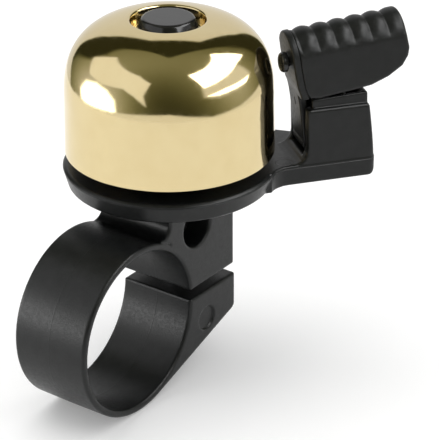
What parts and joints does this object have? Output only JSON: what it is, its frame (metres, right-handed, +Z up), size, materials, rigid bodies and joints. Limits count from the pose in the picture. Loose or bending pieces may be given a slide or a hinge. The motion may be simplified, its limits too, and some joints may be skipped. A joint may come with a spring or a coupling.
{
  "type": "bicycle bell",
  "caption": "Small bicycle bell: polished brass dome on a black plastic handlebar clamp, with a ribbed thumb lever that swings a striker against the dome.",
  "frame": {"origin": "centre of the handlebar bore, at the middle of the clamp's width", "axes": "+Y along the handlebar, +Z up to the bell, +X from the bore to the clamp's split"},
  "size_m": [0.0601, 0.0461, 0.0597],
  "materials": {
    "polished_brass": "polished",
    "plain_brass": "machined",
    "clamp_plastic": "fine satin grain",
    "base_plastic": "satin",
    "pad_plastic": "satin",
    "gloss_black": "gloss",
    "zinc_steel": "zinc plated",
    "black_steel": "black oxide",
    "spring_steel": "bright",
    "nylon": "natural"
  },
  "bodies": {
    "clamp": {"clamp_body": "clamp_plastic", "barrel_nut": "black_steel", "post_insert": "plain_brass", "bearing_washer": "nylon", "friction_washer": "spring_steel", "spacer_sleeve": "base_plastic", "dome": "polished_brass", "dome_seat_washer": "nylon", "dome_top_washer": "zinc_steel", "dome_screw": "zinc_steel", "dome_cap": "gloss_black"},
    "base": {"base_plate": "base_plastic", "lever_pin": "spring_steel", "return_spring": "spring_steel"},
    "striker_lever": {"lever": "gloss_black", "thumb_pad": "pad_plastic", "striker_pin": "gloss_black"},
    "screw_washers": {"clamp_lock_washer": "zinc_steel", "clamp_washer": "zinc_steel"},
    "tightening_screw": {"clamp_screw": "zinc_steel"}
  },
  "joints": [
    {"name": "base_swivel", "type": "hinge", "parent": "clamp", "child": "base", "pos_m": [0.01697, 0, 0.0213], "axis": [0, 0, 1], "continuous": true},
    {"name": "lever_hinge", "type": "hinge", "parent": "base", "child": "striker_lever", "pos_m": [0.03377, -0.01294, 0.02386], "axis": [0.6101, 0.7923, 0], "range_deg": [-2.8, 5], "stiffness_Nm_per_rad": 0.08, "deforming": ["return_spring"]},
    {"name": "clamp_screw_travel", "type": "slide", "parent": "clamp", "child": "screw_washers", "axis": [0.3074, 0, -0.9516], "range_m": [0, 0.007]},
    {"name": "clamp_screw_turn", "type": "hinge", "parent": "screw_washers", "child": "tightening_screw", "pos_m": [0.01487, 0, 0.01215], "axis": [0.3074, 0, -0.9516], "range_deg": [0, 3600]}
  ],
  "couplings": [
    {"joint": "clamp_screw_turn", "follows": "clamp_screw_travel", "rad_per_m": 8976}
  ]
}
